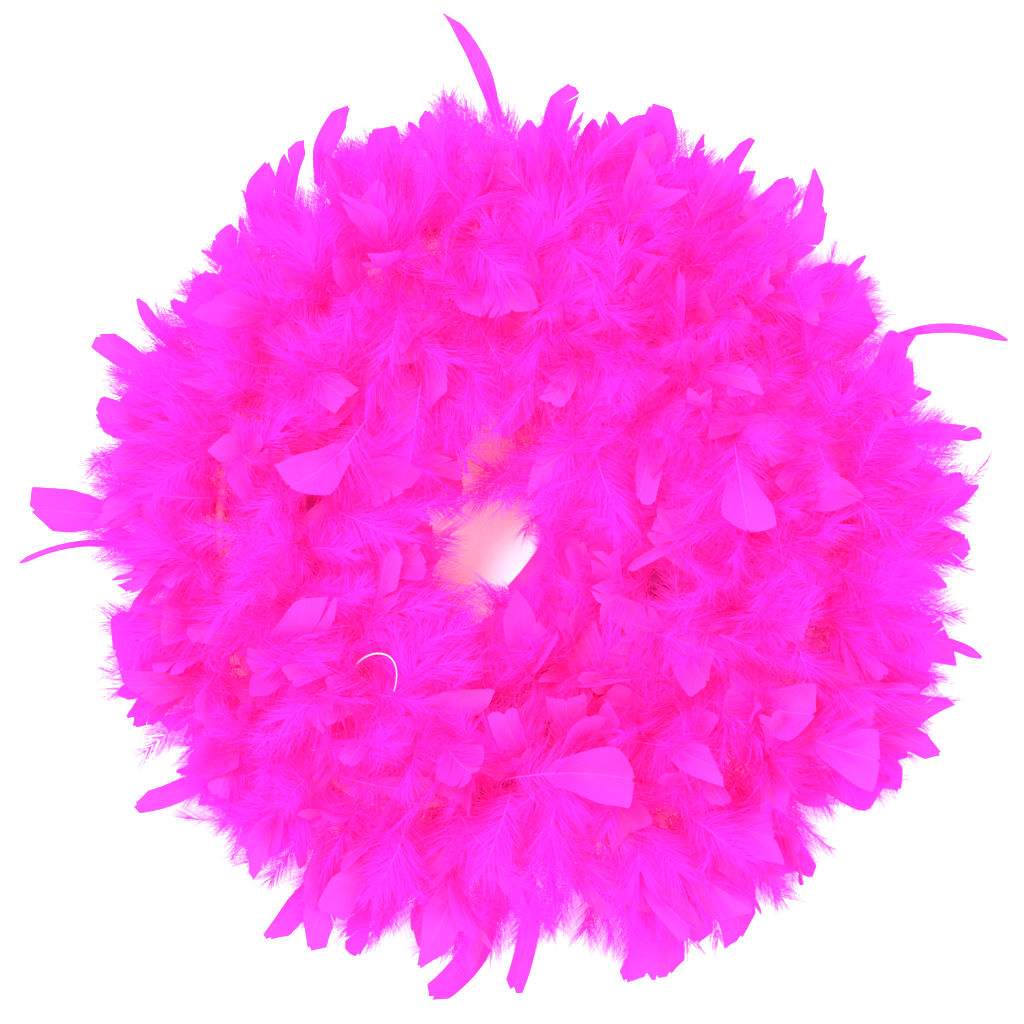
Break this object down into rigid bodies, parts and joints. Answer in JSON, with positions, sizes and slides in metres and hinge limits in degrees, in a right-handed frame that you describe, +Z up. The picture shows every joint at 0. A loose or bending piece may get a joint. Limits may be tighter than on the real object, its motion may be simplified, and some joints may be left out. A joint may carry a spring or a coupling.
{
  "type": "feather boa",
  "caption": "Fluffy feather boa coiled flat: feather bunches lashed to a twisted cord, knotted at both ends, with loose curled tips.",
  "frame": {"origin": "centre of the coiled boa's outline, feather tips included, on the surface it lies on", "axes": "+Z up from the surface, +X to the right and +Y away as the coil is seen from straight above with its outer end at the near right"},
  "size_m": [0.503, 0.4973, 0.0953],
  "materials": {
    "down_and_vanes": "matte",
    "stray_vanes": "satin",
    "twisted_cord": "matte",
    "lashing_thread": "satin"
  },
  "bodies": {
    "outer_end": {"feather_bunch_01": "down_and_vanes", "core_cord_outer_end": "twisted_cord", "quill_lashing_outer_end": "lashing_thread", "whipping_outer_end": "lashing_thread", "knot_outer_end": "twisted_cord", "foot_right_feather": "stray_vanes"},
    "outer_mid": {"feather_bunch_02": "down_and_vanes", "core_cord_outer_mid": "twisted_cord", "quill_lashing_outer_mid": "lashing_thread", "lower_right_feather": "stray_vanes"},
    "outer_tail": {"feather_bunch_03": "down_and_vanes", "core_cord_outer_tail": "twisted_cord", "quill_lashing_outer_tail": "lashing_thread", "right_point_feather": "stray_vanes"},
    "coil": {"feather_bunch_04": "down_and_vanes", "feather_bunch_05": "down_and_vanes", "feather_bunch_06": "down_and_vanes", "feather_bunch_07": "down_and_vanes", "feather_bunch_08": "down_and_vanes", "feather_bunch_09": "down_and_vanes", "feather_bunch_10": "down_and_vanes", "feather_bunch_11": "down_and_vanes", "feather_bunch_12": "down_and_vanes", "feather_bunch_13": "down_and_vanes", "feather_bunch_14": "down_and_vanes", "feather_bunch_15": "down_and_vanes", "feather_bunch_16": "down_and_vanes", "feather_bunch_17": "down_and_vanes", "feather_bunch_18": "down_and_vanes", "feather_bunch_19": "down_and_vanes", "feather_bunch_20": "down_and_vanes", "feather_bunch_21": "down_and_vanes", "feather_bunch_22": "down_and_vanes", "feather_bunch_23": "down_and_vanes", "feather_bunch_24": "down_and_vanes", "core_cord_coil": "twisted_cord", "quill_lashing_coil": "lashing_thread", "tall_crest_feather": "stray_vanes", "top_left_hook_feather": "stray_vanes", "left_fork_feather": "stray_vanes", "left_blade_feather": "stray_vanes", "left_whisker_feather": "stray_vanes", "lower_left_feather": "stray_vanes", "foot_left_feather": "stray_vanes", "foot_curl_feather": "stray_vanes", "right_whisker_feather": "stray_vanes", "top_right_curl_feather": "stray_vanes", "crown_blade_feather": "stray_vanes", "crest_blade_feather": "stray_vanes", "lower_blade_feather": "stray_vanes"},
    "inner_tail": {"feather_bunch_25": "down_and_vanes", "core_cord_inner_tail": "twisted_cord", "quill_lashing_inner_tail": "lashing_thread"},
    "inner_end": {"feather_bunch_26": "down_and_vanes", "core_cord_inner_end": "twisted_cord", "quill_lashing_inner_end": "lashing_thread", "whipping_inner_end": "lashing_thread", "knot_inner_end": "twisted_cord"}
  },
  "joints": [
    {"name": "outer_tail_swing", "type": "hinge", "parent": "coil", "child": "outer_tail", "pos_m": [0.15959, 0.01843, 0.036], "axis": [0, 0, 1], "range_deg": [0, 30]},
    {"name": "outer_mid_swing", "type": "hinge", "parent": "outer_tail", "child": "outer_mid", "pos_m": [0.15537, -0.06221, 0.036], "axis": [0, 0, 1], "range_deg": [0, 30]},
    {"name": "outer_end_lift", "type": "hinge", "parent": "outer_mid", "child": "outer_end", "pos_m": [0.11138, -0.12993, 0.036], "axis": [-0.6691, 0.7431, 0], "range_deg": [0, 30]},
    {"name": "inner_tail_lift", "type": "hinge", "parent": "coil", "child": "inner_tail", "pos_m": [0.07463, -0.02111, 0.036], "axis": [0.9945, -0.1045, 0], "range_deg": [0, 20]},
    {"name": "inner_end_lift", "type": "hinge", "parent": "inner_tail", "child": "inner_end", "pos_m": [0.06589, 0.02, 0.036], "axis": [0.866, 0.5, 0], "range_deg": [0, 20]}
  ]
}
